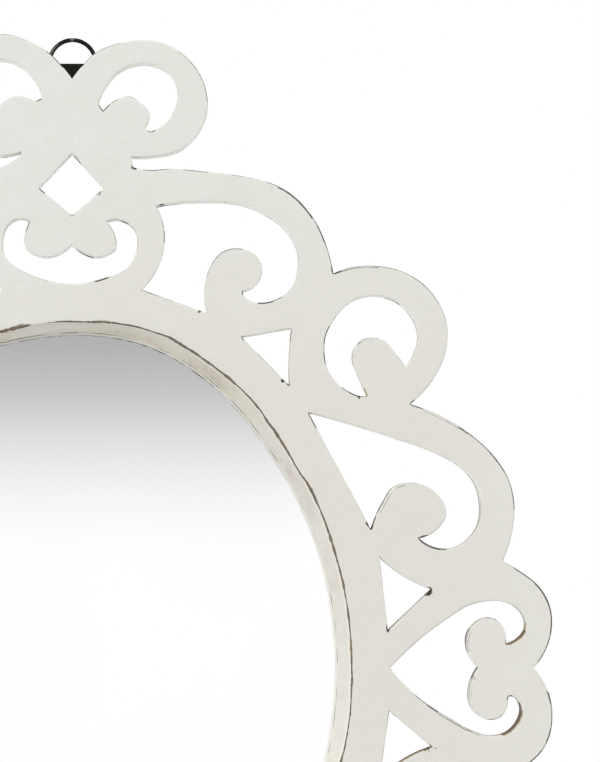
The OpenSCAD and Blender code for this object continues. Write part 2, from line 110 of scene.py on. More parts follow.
# Dark lines along the fretwork's edges, where the paint has rubbed thin and as painted shade at the
# edges: how dark they are, how wide the edge is eased (a light strip shows between two lines where it is
# wide), then x and z of each point
EDGE_LINES = [
    (0.6, 0.7, -45, 396.5, -30, 392, -16, 384), (0.9, 0.6, -16, 384, -6, 376),
    (0.7, 0.6, 6, 376, 14, 384, 30, 391), (0.7, 0.6, 66, 384, 74, 378, 82, 367, 85, 354),
    (0.5, 0.6, 85, 354, 83, 342, 76, 331, 66, 322), (1.2, 0.6, 18, 351.5, 19.5, 348.5, 23, 351),
    (0.8, 0.6, 23, 351, 28, 355), (0.6, 0.6, 35, 357.3, 41, 357), (1.1, 0.5, 48.5, 335.5, 51, 336),
    (0.5, 0.5, 52, 336, 58, 340), (0.8, 0.5, 45, 311.3, 59, 311), (0.8, 0.5, 70, 310.6, 85, 310.3),
    (0.9, 0.5, -45, 317, -41, 317.6), (0.5, 0.5, -40, 313, -33, 317.5),
    (1.1, 0.6, -21, 352.2, -19.3, 353.4), (0.6, 0.6, 100, 308, 112, 306.5),
    (0.8, 0.6, 122, 303.5, 130, 301), (1.3, 1.0, 130, 301, 140, 295, 148, 286.5, 151, 282),
    (0.8, 0.7, 151, 282, 155, 274), (1.3, 0.7, 154, 275, 158, 267), (0.8, 0.7, 158, 267, 163, 250),
    (1.3, 0.8, 163, 250, 163.6, 247), (1.4, 0.9, 163.6, 246.8, 168, 247.5),
    (1.0, 1.1, 168, 247.5, 180, 250, 191, 250.5),
    (0.7, 0.7, 191, 250.5, 205, 247.5, 220, 240, 230, 229),
    (0.5, 0.6, 230, 229, 234.5, 214, 234.5, 204), (0.9, 0.6, 54, 288, 58, 289),
    (0.6, 0.5, 58, 289, 66, 289.8), (0.5, 0.5, 118, 284, 129, 278), (0.5, 0.5, 139, 240, 131, 232),
    (0.8, 0.6, 131, 231.5, 125, 229.5), (1.3, 0.8, 125, 229.5, 117, 228.5),
    (0.7, 0.6, 107, 235, 112, 238), (0.6, 0.6, 118, 247, 116, 254, 109, 260),
    (0.8, 0.6, 107, 261.5, 96, 261.3), (0.7, 0.6, 96, 261, 88, 252, 84, 244),
    (0.5, 0.6, 53.5, 286, 57, 276), (0.8, 0.6, 58, 272, 58, 266), (1.0, 0.6, 53, 249, 49.5, 242.5),
    (0.7, 0.6, 48, 242, 46, 239), (0.75, 0.6, 45, 236.5, 53, 233.3), (0.6, 0.5, 53, 233.3, 62, 229.5),
    (0.65, 0.6, 23, 276.5, 26, 271.5, 27.7, 265, 27, 260.5), (1.2, 0.6, 31, 278.3, 34, 277.3),
    (0.8, 0.6, 34, 277.3, 38, 273.5), (0.8, 0.6, 41, 267, 41, 262), (0.8, 0.6, 0.5, 263, 4, 260.5),
    (1.7, 0.9, 4, 260.5, 7, 257.5, 12, 255.4), (0.5, 0.6, 12, 255.4, 20, 256),
    (1.3, 0.9, 15, 241.9, 22, 244.0), (0.6, 0.6, 23, 244.5, 32, 247.5),
    (0.5, 0.5, -42, 254, -28, 245, -16, 241.5), (0.6, 0.6, -38, 278, -42, 268),
    (1.3, 0.6, -27.6, 273, -25, 277.5), (1.2, 0.6, -20, 299, -18, 297), (1.8, 0.9, 1.2, 319, 4, 316),
    (1.0, 0.6, 17, 295, 18.5, 297), (0.6, 0.5, 108, 206.5, 130, 210),
    (1.2, 0.6, 137.6, 210.5, 136.8, 205.5), (0.3, 0.5, 136.5, 205, 134.8, 189),
    (0.6, 0.5, 116, 196, 129, 184), (1.0, 0.6, 160, 213, 158.3, 203),
    (0.7, 0.6, 158.3, 203, 157.7, 197), (0.9, 0.6, 157.7, 196.5, 158.5, 190.5),
    (0.9, 0.6, 169.5, 175, 174, 172), (1.2, 0.7, 174, 172, 179, 170),
    (0.9, 0.5, 183.5, 171.5, 183.5, 169.5), (0.7, 1.2, 174, 190, 174, 196, 177, 202.5),
    (0.8, 1.0, 177, 202.5, 182, 206, 190, 206), (0.6, 0.6, 190, 206, 198, 201.5),
    (0.6, 0.5, 203, 193, 207, 188.6), (0.5, 0.6, 186, 231.5, 196, 230.5),
    (0.9, 0.6, 196, 230.5, 204, 226), (0.6, 0.6, 204, 226, 210, 221, 214, 213),
    (0.5, 0.6, 215, 207, 215, 200), (0.9, 0.8, 211, 165, 221, 162.3),
    (1.0, 1.4, 221, 162.3, 236, 154.5, 242, 151), (1.2, 1.0, 242, 151, 248, 147),
    (0.9, 0.7, 248, 147, 256, 142, 263, 135), (1.05, 0.8, 263, 135, 267, 130),
    (1.0, 0.7, 267, 130, 271, 123.5), (0.85, 0.6, 271, 123.5, 275, 113, 277, 100),
    (0.5, 0.5, 274, 80, 270, 69), (1.1, 0.6, 148, 158.3, 151.5, 150.5),
    (0.6, 0.6, 229, 132.5, 237, 128.5, 246, 121.5), (0.7, 1.0, 246, 121.5, 251, 115.5, 253, 108),
    (0.8, 0.6, 253.5, 108, 254, 92, 251, 85.5), (0.5, 0.5, 251, 85.5, 246, 79.5),
    (1.1, 0.7, 233, 74, 229, 74.6), (1.6, 1.0, 229, 74.6, 222, 77.5, 217.2, 81),
    (1.0, 0.6, 217, 81.6, 220.5, 84), (0.5, 0.5, 234, 99, 233, 92), (0.5, 0.6, 205, 115.5, 215, 115.7),
    (1.0, 1.6, 192, 97, 196, 105, 200, 111.5, 208, 115.4), (0.7, 0.9, 190, 94.5, 192, 97),
    (1.3, 0.7, 187, 87.5, 190, 94), (0.5, 0.5, 194, 67.5, 196, 66), (0.5, 0.5, 207, 56, 222, 50.5),
    (0.7, 0.6, 222.5, 49.8, 225, 48), (0.7, 0.5, 221, 46, 212, 37.5), (0.85, 0.6, 212, 37.5, 204, 29.5),
    (1.5, 0.8, 204, 29.5, 197, 22.8), (0.5, 0.5, 248, 40, 262, 41.5),
    (0.7, 0.6, 262, 41.5, 272, 40, 279, 34, 283, 27), (1.0, 0.6, 283, 27, 282.3, 22),
    (1.0, 1.3, 249, 24, 245.5, 16.5, 247, 10), (0.7, 0.6, 252, 28, 258, 30.6, 265, 30.3),
    (0.7, 0.6, 268.5, 66.5, 276, 61), (1.0, 0.7, 276, 61, 289, 52),
    (1.3, 0.9, 289, 52, 294, 45.5, 298, 38), (1.1, 0.8, 298, 38, 300.3, 30, 300.3, 22),
    (0.9, 0.7, 300.3, 22, 297, 12.5, 291, 4), (0.5, 1.3, 289, -2.5, 293, -8, 296, -15.5),
    (1.1, 0.9, 296, -15.5, 298.5, -22), (0.8, 0.7, 298.5, -22, 299.8, -30, 299, -38),
    (1.2, 0.8, 299, -38, 296.5, -46), (0.8, 0.7, 296.5, -46, 293, -52), (1.1, 0.7, 293, -52, 286, -59),
    (1.1, 0.9, 253.5, 0, 249.5, -5.5), (0.7, 1.3, 249.5, -5.5, 247.3, -13, 248, -21),
    (0.6, 0.7, 248, -21, 252, -28, 260, -32, 268, -30), (1.3, 0.6, 272.5, -16.5, 274.5, -17),
    (0.7, 0.6, 274.5, -17, 278.5, -20.5), (0.5, 1.2, 199, -1, 206, -9, 213, -17),
    (0.7, 0.8, 213, -17, 222, -24), (1.0, 0.9, 222, -24, 229, -28.5),
    (1.2, 1.3, 229, -28.5, 236, -33, 246, -38.7), (1.0, 1.1, 246, -38.7, 254, -42),
    (0.6, 0.7, 254, -42, 266, -43.5), (0.7, 0.5, 198.5, -27, 201, -29),
    (0.6, 0.5, 205, -32, 222, -45.5), (0.8, 0.5, 222, -45.5, 225.5, -48.8),
    (1.5, 0.8, 226, -49.2, 219, -51.5, 210, -56, 203, -59), (0.6, 0.5, 197.5, -29, 197, -33.5),
]
# Stretches of the sawn side walls that are bare brown wood: how bare, then x and z of each point
BARE_WALLS = [
    (0.5, 283, 28, 282.5, 22.5), (1.0, 282.5, 22.5, 279.5, 18.5, 275, 15.5, 270, 14),
    (0.8, 279.7, -22.5, 281.2, -27),
    (1.0, 281.2, -27, 280.3, -33, 277, -37.5, 273, -40.7, 269.5, -42.5), (1.0, 224.8, 48.3, 221, 45.7),
    (0.2, 221, 45.7, 197, 22.8), (0.7, 226, -49.2, 219, -51.5, 203, -59), (0.8, 187, 87.3, 190.5, 93),
    (0.8, 137.5, 210.3, 136.7, 205), (0.2, 136.5, 203, 134.8, 190), (0.7, 41, 267, 41, 261),
    (0.6, -27.6, 273, -25, 277.5), (0.5, 184, 171, 182.5, 174), (0.2, 174.3, 189, 173.6, 196),
    (0.25, 254, 104, 254.2, 94), (0.25, 247.3, -12, 247.7, -20),
]
# Short nicks left by the saw at the corners of the cut-outs: half width, then x and z of both ends
NICKS = [
    (0.8, 38.3, 313.2, 39.8, 312.4), (0.4, 55.0, 288.9, 57.0, 289.2), (0.9, 79.2, 222.0, 79.6, 221.9),
    (1.0, 130.8, 179.3, 131.6, 178.4), (0.4, 134.2, 177.5, 135.3, 176.8),
    (0.9, 179.0, 169.6, 179.6, 168.2), (0.8, 183.8, 90.0, 184.8, 88.8), (0.5, 187.1, 87.3, 187.9, 88.4),
    (1.0, 223.2, 48.4, 221.7, 46.6), (0.35, 197.0, 22.7, 197.8, 23.4),
    (0.5, 226.7, -50.0, 227.6, -50.3), (0.3, 222.9, -50.6, 222.6, -52.2),
    (0.3, 220.7, -51.4, 220.4, -52.8), (0.5, 201.2, -29.4, 201.5, -29.6),
    (0.4, 106.7, 234.6, 107.2, 234.4), (0.3, 106.8, 206.1, 107.4, 206.0),
    (0.5, 217.2, 81.0, 218.4, 82.4), (0.4, -0.9, 282.2, 0.9, 282.2), (0.5, 164.2, 246.7, 166.6, 246.9),
    (0.5, -20.6, 354.4, -19.6, 355.2), (0.4, 17.3, 295.4, 17.9, 296.2),
    (0.4, -19.6, 298.8, -18.4, 297.8),
]
# Soft lights all round: the way each one lies and its strength
LIGHTS = [
    ((-1, -1, 0), 0.965), ((1, -1, 1), 1.46), ((-1, -1, 1), 1.05), ((1, 0, 1), 0.95),
    ((0, 1, -1), 0.62), ((-1, 1, -1), 1.66), ((1, 1, -1), 1.04),
]
# How bright the room in the glass looks at a few heights (mm above the middle), from the top down
ROOM = [(202, 179), (174, 197), (136, 229), (105, 247), (72.5, 255)]
# The camera: turn and tilt in degrees, lens, shift, and place from the middle of the board's front
TURN, TILT = 1.015, 1.092
LENS = 166.94
SHIFT = (0.13, 0.16)
EYE = (41.5, -2203.6, 61)


def mirrored(rows, leading):
    """The leading values of each row, its points and its strength: as the row stands, and weaker
    twins of most rows in the other three quarters."""
    rows = [(row[:leading], np.array(row[leading:], float).reshape(-1, 2)) for row in rows]
    out = [(values, at, 1.0) for values, at in rows]
    chance = np.random.default_rng(11)
    for way in ((-1, 1), (1, -1), (-1, -1)):
        for values, at in rows:
            keep = at.min() > 0 and (way[1] < 0 or at[:, 0].min() > 45)
            keep = keep and (way != (1, -1) or at[:, 1].min() > 62)
            if keep and chance.random() < 0.7:
                out.append((values, at * way, chance.uniform(0.5, 1.0)))
    return out


def around(table, degrees, column=1):
    """A table read all the way round: as it stands over its own stretch, and stretched a little
    differently in each of the other quarters."""
    at, values = [row[0] for row in table], [row[column] for row in table]
    full = degrees % 360
    quarter = (full // 90).astype(int)
    into = np.where(quarter % 2 == 0, full - 90 * quarter, 90 * (quarter + 1) - full)
    bend = np.array([0.0, 13.0, -11.0, 8.0])[quarter]
    into = into + bend * np.sin(np.radians(into * 2))
    signed = (degrees + 180) % 360 - 180
    own = (signed >= at[0]) & (signed <= at[-1])
    return np.interp(np.where(own, signed, np.clip(into, 0, 90)), at, values)


def wander(count, waves, seed):
    """A smooth closed wave of about unit size."""
    chance = np.random.default_rng(seed)
    t = np.arange(count) / count * 2 * math.pi
    out = np.zeros(count)
    for n in waves:
        out += chance.uniform(0.5, 1) * np.sin(n * t + chance.uniform(0, 6.28))
    return out / math.sqrt(len(waves) / 2)


def rise(value, start, length):
    """0 up to start, then rising to 1 over the length."""
    return np.clip((value - start) / length, 0, 1)


# Curves

def lengths(ways):
    return np.linalg.norm(ways, axis=1)


def cross(a, b):
    return a[:, 0] * b[:, 1] - a[:, 1] * b[:, 0]


def travelled(points):
    """How far along the points each one is from the first."""
    return join([[0], np.cumsum(lengths(np.diff(points, axis=0)))])


def oval(count):
    """Points of the glass opening's oval at even steps, their outward directions and degrees."""
    end_y = SIGHT[1] - END_R
    side_r = (SIGHT[0] ** 2 + SIGHT[1] ** 2 - 2 * SIGHT[1] * END_R) / (2 * (SIGHT[0] - END_R))
    side_x = SIGHT[0] - side_r
    joint = math.atan2(end_y, -side_x)
    way = join([np.linspace(0, joint, 400), np.linspace(joint, math.pi / 2, 400)[1:]])
    way = np.stack([np.cos(way), np.sin(way)], 1)
    quarter = join([way[:400] * side_r + (side_x, 0), way[400:] * END_R + (0, end_y)])

    def whole(part):
        half = join([part, part[-2::-1] * (-1, 1)])
        return join([half, -half[1:]])

    s = travelled(whole(quarter))
    at = np.arange(count) / count * s[-1]
    p, n = (np.stack([np.interp(at, s, whole(part)[:, k]) for k in (0, 1)], 1)
            for part in (quarter, way))
    n /= lengths(n)[:, None]
    return p, n, np.degrees(np.arctan2(p[:, 1], p[:, 0]))


OVAL, OUTWARD, DEGREES = oval(720)
# How far outside the oval the opening's own edge lies
EDGE = around(STRAY, DEGREES, 2)


def flat_loops(obj, y):
    """The closed outlines of a CAD node's flat face at depth y (mm), material on their left."""
    mesh = obj.data
    mesh.calc_loop_triangles()
    co = np.array([v.co for v in mesh.vertices]) / MM
    places, index = np.unique(np.round(co, 3), axis=0, return_inverse=True)
    tris = index.ravel()[np.array([t.vertices for t in mesh.loop_triangles])]
    tris = tris[(np.abs(places[tris][:, :, 1] - y) < 0.002).all(1)]
    p = places[:, [0, 2]] - (0, MID.z / MM)
    a, b, c = (p[tris[:, k]] for k in range(3))
    turned = cross(b - a, c - a) < 0
    tris[turned] = tris[turned][:, ::-1]
    sides = {(t[k], t[(k + 1) % 3]) for t in tris for k in range(3)}
    ahead = {s[0]: s[1] for s in sides if (s[1], s[0]) not in sides}
    loops = []
    while ahead:
        start, at = next(iter(ahead.items()))
        loop = [start]
        del ahead[start]
        while at != start:
            loop.append(at)
            at = ahead.pop(at)
        loops.append(p[loop])
    return loops


def spread_of(loop):
    return np.ptp(loop, axis=0).prod()


def tangents(run):
    """Directions of the smooth curve through a run of points."""
    step = np.diff(run, axis=0)
    d = lengths(step)[:, None]
    out = np.zeros_like(run)
    if len(run) == 2:
        return np.repeat(step / d, 2, axis=0)
    out[1:-1] = (step[:-1] * d[1:] / d[:-1] + step[1:] * d[:-1] / d[1:]) / (d[:-1] + d[1:])
    out[0] = 2 * step[0] / d[0] - out[1]
    out[-1] = 2 * step[-1] / d[-1] - out[-2]
    return out


def smoothed(loop, marks):
    """The loop with its curves made finer, most of all near marks, and its corners kept. Also how
    far each point is from a corner."""
    into = loop - np.roll(loop, 1, axis=0)
    out = np.roll(loop, -1, axis=0) - loop
    turn = np.abs(np.degrees(np.arctan2(cross(into, out), (into * out).sum(1))))
    size = lengths(out)
    step = np.where(nearest(loop + out / 2, marks) < size / 2 + 2.5, FINE_STEP, STEP)
    parts = np.maximum(1, np.ceil(size / step)).astype(int)
    corners = np.flatnonzero(turn > CORNER)
    if not len(corners):
        corners = np.array([0])
    points, gap = [], []
    for i, first in enumerate(corners):
        last = corners[(i + 1) % len(corners)]
        count = (last - first) % len(loop) or len(loop)
        index = (first + np.arange(count + 1)) % len(loop)
        run = loop[index]
        way = tangents(run)
        made = []
        for k in range(count):
            p, q, s, t = run[k], run[k + 1], way[k], way[k + 1]
            d = np.linalg.norm(q - p)
            n = parts[index[k]]
            h = (np.arange(n) / n)[:, None]
            made.append(p * (1 + 2 * h) * (1 - h) ** 2 + s * d * h * (1 - h) ** 2
                        + q * h * h * (3 - 2 * h) - t * d * h * h * (1 - h))
        made = join(made)
        s = travelled(made)
        whole = s[-1] + np.linalg.norm(run[-1] - made[-1])
        points.append(made)
        gap.append(np.minimum(s, whole - s))
    return join(points), join(gap)


def inward(loop):
    """At each point, the way into the material, longer at corners so that the inset keeps its width."""
    out = np.roll(loop, -1, axis=0) - loop
    out /= lengths(out)[:, None]
    mid = out + np.roll(out, 1, axis=0)
    size = lengths(mid)[:, None]
    mid = np.where(size > 1e-6, mid / np.maximum(size, 1e-6), out)
    left, side = (np.stack([-way[:, 1], way[:, 0]], 1) for way in (mid, out))
    return left / np.maximum((left * side).sum(1), 0.45)[:, None]


def nearest(points, others):
    """Distance from each point to the nearest of the others."""
    tree = KDTree(len(others))
    for k, q in enumerate(others):
        tree.insert((*q, 0), k)
    tree.balance()
    return np.array([tree.find((*q, 0))[2] for q in points])


def inside(points, loops):
    """Whether each point lies in the material."""
    ax, ay = join(loops).T
    bx, by = join([np.roll(loop, -1, axis=0) for loop in loops]).T
    odd = np.zeros(len(points), bool)
    many = 1500
    for k in range(0, len(points), many):
        x, y = points[k:k + many, 0, None], points[k:k + many, 1, None]
        over = (ay > y) != (by > y)
        at = ax + (y - ay) * (bx - ax) / np.where(over, by - ay, 1)
        odd[k:k + many] = (over & (x < at)).sum(1) % 2 == 1
    return odd


def along(points, path, reach=2.6, past=0.5):
    """For each point, 1 where it lies on the path or close beside it, falling to 0 past its ends."""
    out = np.zeros(len(points))
    last = len(path) - 2
    for k, (a, b) in enumerate(zip(path, path[1:])):
        long = np.linalg.norm(b - a)
        way = (b - a) / long
        s = (points - a) @ way
        beside = np.abs((points - a) @ np.array([-way[1], way[0]]))
        early = -s - (past if k == 0 else 2)
        late = s - long - (past if k == last else 2)
        beyond = np.maximum(np.maximum(early, late), 0)
        near = np.clip((reach + 0.4 - beside) / 0.4, 0, 1)
        out = np.maximum(out, np.clip(1 - beyond / 0.8, 0, 1) * near)
    return out


def strongest(points, rows, column):
    """For each point the largest value of the rows whose path passes it."""
    out = np.zeros(len(points))
    for values, path, share in rows:
        if lengths(points - path[0]).min() < 30:
            out = np.maximum(out, along(points, path) * values[column] * share)
    return out


# Meshes

def placed(name, data):
    """A new object in the scene."""
    made = bpy.data.objects.new(name, data)
    bpy.context.scene.collection.objects.link(made)
    return made


def store(mesh, name, values):
    """Keeps a value for each point of a mesh, for its finish to read."""
    layer = mesh.attributes.new(name, "FLOAT", "POINT")
    layer.data.foreach_set("value", np.array(values, np.float32))


def rounded(mesh):
    """Shades a mesh smooth, but for its sharp edges."""
    mesh.shade_smooth()
    mesh.set_sharp_from_angle(angle=SHARP)


class Shell:
    """A mesh under construction: points in mm about the oval's middle, faces and named values."""

    def __init__(self, *values):
        self.points, self.faces, self.count = [], [], 0
        self.values = {name: [] for name in values}

    def add(self, flat, depth, **values):
        """Adds points and returns their indices."""
        n = len(flat)
        depth = np.broadcast_to(depth, (n,))
        self.points.append(np.stack([flat[:, 0], depth, flat[:, 1]], 1))
        for name, kept in self.values.items():
            kept.append(np.broadcast_to(values.get(name, 0.0), (n,)).astype(float))
        self.count += n
        return np.arange(self.count - n, self.count)

    def ring(self, offset, depth, **values):
        """Adds a closed row of points at an offset outside the oval."""
        offset = np.broadcast_to(offset, (len(OVAL),))[:, None]
        return self.add(OVAL + OUTWARD * offset, depth, **values)

    def bands(self, rows, turned=False):
        """Quads between closed rows, material on the left of the first. Turned, it is on the right."""
        for a, b in zip(rows, rows[1:]):
            quad = [a, b, np.roll(b, -1), np.roll(a, -1)]
            if turned:
                quad[1:] = quad[:0:-1]
            self.faces.extend(np.stack(quad, 1).tolist())

    def sheet(self, loops, free, turned=False):
        """Fills between closed rows of points already added, with free points in between."""
        ids = join([*loops, free]).astype(int)
        at = join(self.points)[ids]
        p, depth = at[:, [0, 2]], at[0, 1]
        ends = np.cumsum([0, *(len(loop) for loop in loops)]).tolist()
        spans = list(zip(ends, ends[1:]))
        edges = [(a + k, a + (k + 1) % (b - a)) for a, b in spans for k in range(b - a)]
        made = delaunay_2d_cdt([Vector(q) for q in p], edges, [], 0, 1e-4)
        points, faces, source = made[0], np.array(made[2]), made[3]
        flat = np.array([q[:] for q in points])
        faces = faces[inside(flat[faces].mean(1), [p[a:b] for a, b in spans])]
        table = [ids[froms[0]] if froms else self.add(np.array([place[:]]), depth)[0]
                 for place, froms in zip(points, source)]
        for face in faces:
            q = [int(table[v]) for v in face]
            self.faces.append(q[::-1] if turned else q)

    def object(self, name):
        points = join(self.points) * MM + (0, 0, MID.z)
        mesh = bpy.data.meshes.new(name)
        mesh.from_pydata(points.tolist(), [], self.faces)
        for key, kept in self.values.items():
            store(mesh, key, join(kept))
        mesh.validate()
        rounded(mesh)
        return placed(name, mesh)


# The fretwork board

def clamped(flat):
    """Keeps a finer curve inside the CAD board's own box."""
    lo = np.array([frame_lo.x, frame_lo.z - MID.z]) / MM
    hi = np.array([frame_hi.x, frame_hi.z - MID.z]) / MM
    return np.clip(flat, lo, hi)


def sawn_rows(shell, flat, gap, lines, bare_walls, nicks, seed):
    """The rows of points at one sawn outline, from the face over its eased edge to the back."""
    way = inward(flat)
    n = len(flat)
    ease = 0.6 + 0.12 * wander(n, (3, 5, 8, 13), seed)
    ease = np.maximum(ease, strongest(flat, lines, 1))
    ease = np.clip(ease, 0.3, 0.35 + 0.4 * gap)
    # dirt and painted shade: every edge gets at least a faint dark line, darker where the edge lines say
    dirt = np.maximum(0.38, strongest(flat, lines, 0))
    bare = strongest(flat, bare_walls, 0)
    nick, broad = np.zeros(n), np.zeros(n)
    for (width,), path, _ in nicks:
        here = along(flat, path, width + 0.6, 0.5 * width + 0.1)
        nick = np.maximum(nick, here)
        broad = np.maximum(broad, here * min(0.7, max(0.0, 3 * (width - 0.5))))
    # a side wall that faces the middle is seen from in front, so its dark line of dirt and painted shade
    # is at its back edge
    facing = np.clip((way * flat).sum(1) / lengths(flat) * 3, 0, 1)
    wide = rise(ease, 0.8, 0.4)
    ease = np.where(ease < 0.8, ease * (1 - 0.6 * facing), ease)
    ease = np.maximum(ease, np.minimum(1.3 * rise(bare, 0.8, 0.2), 0.3 + 0.6 * gap))
    # painted light: the walls of the narrow slots at the top, which get little light, are painted whiter
    # to stand in for the light they lack
    painted_wall_light_share = np.clip(1.3 * way[:, 1] + 0.1, 0, 1)
    painted_wall_light_share = np.maximum(painted_wall_light_share, np.clip(-1.3 * way[:, 1], 0, 1) * rise(flat[:, 1], 80, 60))
    front_dirt_and_shade = dirt * np.maximum(1 - facing, 0.75 * wide)
    line_dirt_and_shade = np.clip(0.3 + 0.5 * wide + 0.45 * rise(dirt, 0.6, 0.4), 0, 0.85)
    soil_and_shade = 0.8 * rise(dirt, 0.7, 0.4)
    rows = [
        shell.add(flat + way * (ease + 0.3)[:, None], FRONT, nick=broad),
        shell.add(flat + way * ease[:, None], FRONT + 0.02, dirt=front_dirt_and_shade * line_dirt_and_shade,
                  bare=bare * 0.25, nick=nick * 0.7, wall=facing * painted_wall_light_share * 0.5),
        shell.add(flat + way * (ease * 0.45)[:, None], FRONT + 0.05 + ease * 0.14,
                  dirt=front_dirt_and_shade * (1 - wide), bare=bare * 0.6, nick=nick, wall=facing * painted_wall_light_share),
        shell.add(flat, FRONT + 0.15 + ease * 0.5, dirt=front_dirt_and_shade, bare=bare, nick=nick,
                  wall=facing * painted_wall_light_share),
    ]
    # dirt and painted shade darken the back of the walls that face the middle, and the very back edge of
    # every wall
    for share, grime_and_shade, sawn in ((0.14, 0.0, 0.9), (0.5, soil_and_shade, 0.4), (0.8, 1.0, 0.0)):
        rows.append(shell.add(flat, FRONT + (BACK - FRONT) * share, wall=painted_wall_light_share, bare=bare,
                              nick=nick * sawn, dirt=dirt * facing * grime_and_shade))
    rows.append(shell.add(flat, BACK - 0.35, wall=painted_wall_light_share, bare=bare, dirt=np.maximum(0.3, dirt * facing)))
    inset = np.minimum(0.35, 0.2 + 0.2 * gap)[:, None]
    rows.append(shell.add(flat + way * inset, BACK, back=1.0))
    shell.bands(rows)
    return rows


def opening_rows(shell, chance):
    """The rows of points at the opening, from the face over the worn arris and the bevel to the lip
    and on to the rebate. Also how far out the worn line reaches."""
    count = len(OVAL)
    arris = TO_ARRIS + around(STRAY, DEGREES)
    half = around(WORN, DEGREES) / 2 + np.where(np.abs(DEGREES) < 60, 0.12, 0)
    lean = around(WORN, DEGREES, 2)
    rough = chance.normal(0, 1, (2, count))
    hold = np.convolve(join([rough[0], rough[0][:4]]), np.ones(3) / 3, "same")[:count]
    arris = arris + 0.12 * hold
    half = np.clip(half * (1 + 0.16 * rough[1]), 0.06, 2)
    waver = 0.2 * wander(count, (17, 31, 53, 79), 5)
    strength = np.clip(half / 0.3, 0.15, 1)
    outer_core = strength * np.clip(0.8 + 0.6 * lean + waver, 0, 1)
    inner_core = strength * np.clip(0.8 - 0.6 * lean - waver, 0, 1)
    middle_core = strength * rise(-half, -0.75, 0.35)
    ring = shell.ring

    def bevel(offset, deeper=0, **values):
        depth = FRONT + (LIP - LIP_EDGE - FRONT) * (arris - offset) / (arris - EDGE)
        return ring(offset, depth + deeper, **values)

    outer = arris + half
    inner = arris - half
    haze = sum(amount * np.exp(-((DEGREES - middle) / width) ** 2)
               for amount, middle, width in CRUMBLED)
    rows = [
        ring(outer + 0.3 + 2.0 * haze, FRONT),
        ring(outer + 0.15 + 1.0 * haze, FRONT + 0.02, worn=haze * 0.5),
        ring(outer, FRONT + 0.04, worn=np.maximum(strength * 0.55, haze * 0.65)),
        ring(arris + half * 0.55, FRONT + 0.08 + half * 0.15, worn=strength, core=outer_core),
        ring(arris, FRONT + 0.1 + half * 0.4, worn=strength, core=middle_core),
        ring(arris - half * 0.55, FRONT + 0.1 + half * 0.8, worn=strength, core=inner_core),
        # painted highlight: a light line on the bevel just inside the worn arris
        bevel(inner, 0.02, worn=strength * 0.55, light=0.5, bevel=0.3),
        bevel(inner - 0.2, light=1.3, bevel=0.5),
        bevel(inner - 0.6, light=0.8, bevel=0.8),
        bevel(inner - 1.1, bevel=1.0),
    ]
    # painted light and shade on the bevel by degrees round the oval: lighter where the table says and at
    # the top near the arris, darker by the stains towards the lip
    bevel_painted_light, stain, cream = (around(BEVEL_TONE, DEGREES, k) for k in (1, 2, 3))
    top = rise(np.abs(np.sin(np.radians(DEGREES))), 0.88, 0.1)
    for share in (0.05, 0.3, 0.55, 0.8):
        rows.append(bevel(inner - 1.1 + (EDGE + 1.7 - inner + 1.1) * share, bevel=1.0,
                          stain=stain * (0.4 + 0.8 * share), cream=cream,
                          light=bevel_painted_light + top * (0.75 - share)))
    groove = 0.35 + 0.4 * wander(count, (7, 19, 37, 61), 9) + 0.45 * (np.abs(DEGREES) > 55)
    rows += [
        bevel(EDGE + 1.7, bevel=1.0, cream=cream),
        bevel(EDGE + 1.3, 0.1, bevel=1.0, cream=cream, dirt=np.clip(groove, 0, 1.1)),
        # painted highlight on the lip's straight edge, then a painted shadow line where the lip meets
        # the glass
        bevel(EDGE + 0.9, bevel=0.6, light=0.7),
        bevel(EDGE + 0.3, 0.1, light=1.3),
        ring(EDGE, LIP - 0.8, light=1.1),
        ring(EDGE, LIP - 0.1, dirt=0.9),
        ring(np.maximum(EDGE + 1.0, 0.5), LIP, dirt=1.0),
        ring(TO_REBATE, LIP, back=1.0),
        ring(TO_REBATE, BACK, back=1.0),
    ]
    shell.bands(rows, turned=True)
    return rows, outer


def face_points(rings, dense, outer):
    """Points over the face, so that its values fade close to the edges."""
    free = join([(flat + inward(flat) * inset)[::every]
                           for flat in rings for inset, every in ((2.6, 1), (5.5, 2))])
    free = free[nearest(free, dense) > 2.2]
    xs, zs = np.arange(-296, 297, 9.0), np.arange(-388, 393, 8.0)
    grid = np.array([(x + (4.5 if j % 2 else 0), z) for j, z in enumerate(zs) for x in xs])
    free = join([free, grid[nearest(grid, dense) > 7]])
    turn = np.degrees(np.arctan2(free[:, 1], free[:, 0]))
    reach = lengths(OVAL + OUTWARD * (outer + 2.5)[:, None])
    order = np.argsort(DEGREES)
    place = np.interp(turn, DEGREES[order], reach[order], period=360)
    free = free[(lengths(free) > place) & inside(free, rings)]
    cell, kept = 1.6, {}
    for q in free:
        kept.setdefault((q[0] // cell, q[1] // cell), q)
    return np.array(list(kept.values()))


def nick_points(nicks):
    """Points on the nicks, with a third value that is 1 down their middle and 0 round them."""
    out = []
    for (width,), (a, b), _ in nicks:
        d = b - a
        long = np.linalg.norm(d)
        d = d / long
        side = np.array([-d[1], d[0]])
        for t in np.arange(0, long + 0.01, 0.5):
            out.append((*(a + d * t), 1.0))
            for sign in (-1, 1):
                out.append((*(a + d * t + side * sign * width), 0.0))
        out += [(*(a - d * width), 0.0), (*(b + d * width), 0.0)]
    return np.array(out)


